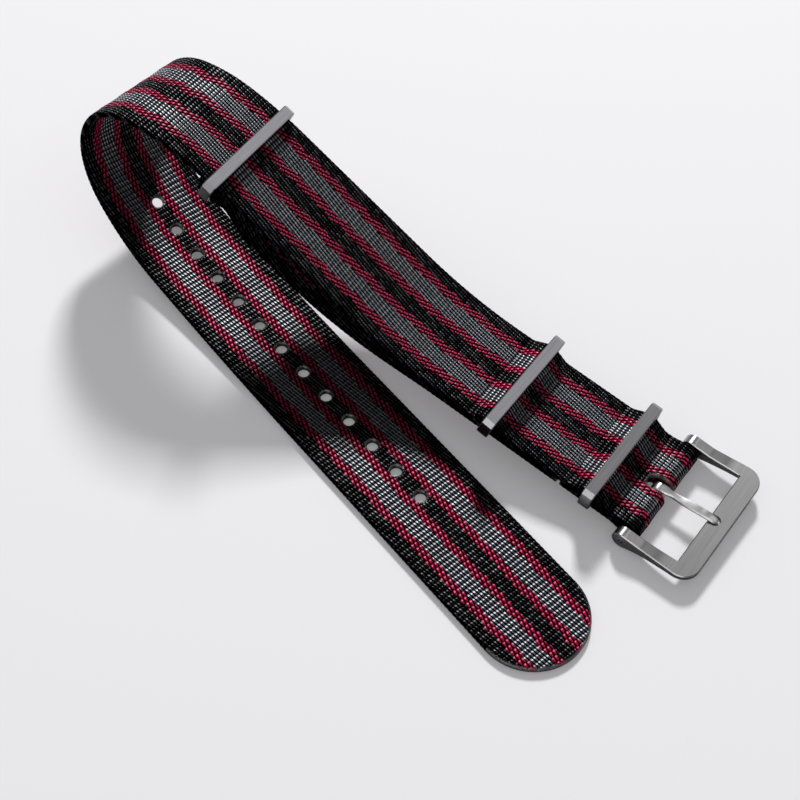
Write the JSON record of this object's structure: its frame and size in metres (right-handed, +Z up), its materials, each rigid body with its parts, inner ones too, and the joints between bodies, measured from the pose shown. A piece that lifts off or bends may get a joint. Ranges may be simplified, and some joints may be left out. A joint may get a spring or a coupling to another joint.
{
  "type": "watch strap",
  "caption": "Woven nylon pull-through watch strap lying as a loop, with a steel pin buckle, two keepers and an end ring.",
  "frame": {"origin": "on the floor under the centre of the half circle of the strap's tip", "axes": "+Z up from the floor, +X from the loop towards the tip and the buckle, +Y from the lower arm towards the buckle's arm"},
  "size_m": [0.1334, 0.057, 0.0332],
  "materials": {
    "webbing": "tightly woven nylon, black with two grey bands edged in red",
    "buckle_steel": "brushed stainless steel",
    "ring_steel": "brushed stainless steel"
  },
  "bodies": {
    "strap": {"long_strap": "webbing", "short_strap": "webbing"},
    "buckle": {"buckle_frame": "buckle_steel", "buckle_bar": "buckle_steel"},
    "tongue": {"buckle_tongue": "buckle_steel"},
    "keeper_one": {"first_keeper": "ring_steel"},
    "keeper_two": {"second_keeper": "ring_steel"},
    "ring": {"end_ring": "ring_steel"}
  },
  "joints": [
    {"name": "buckle_hinge", "type": "hinge", "parent": "strap", "child": "buckle", "pos_m": [0.00038, 0.03287, 0.00229], "axis": [0.1259, -0.9919, -0.0168], "range_deg": [-25, 40]},
    {"name": "tongue_hinge", "type": "hinge", "parent": "buckle", "child": "tongue", "pos_m": [0.00038, 0.03287, 0.00229], "axis": [0.1259, -0.9919, -0.0168], "range_deg": [0, 75]},
    {"name": "first_keeper_tilt", "type": "hinge", "parent": "strap", "child": "keeper_one", "pos_m": [-0.00796, 0.03143, 0.0042], "axis": [-0.1259, 0.9919, 0.0168], "range_deg": [-8, 8]},
    {"name": "second_keeper_tilt", "type": "hinge", "parent": "strap", "child": "keeper_two", "pos_m": [-0.0289, 0.02872, 0.007], "axis": [-0.1259, 0.9919, 0.0168], "range_deg": [-16, 1]},
    {"name": "end_ring_tilt", "type": "hinge", "parent": "strap", "child": "ring", "pos_m": [-0.08902, 0.02059, 0.02669], "axis": [-0.1137, 0.9919, 0.0567], "range_deg": [-5, 5]}
  ]
}
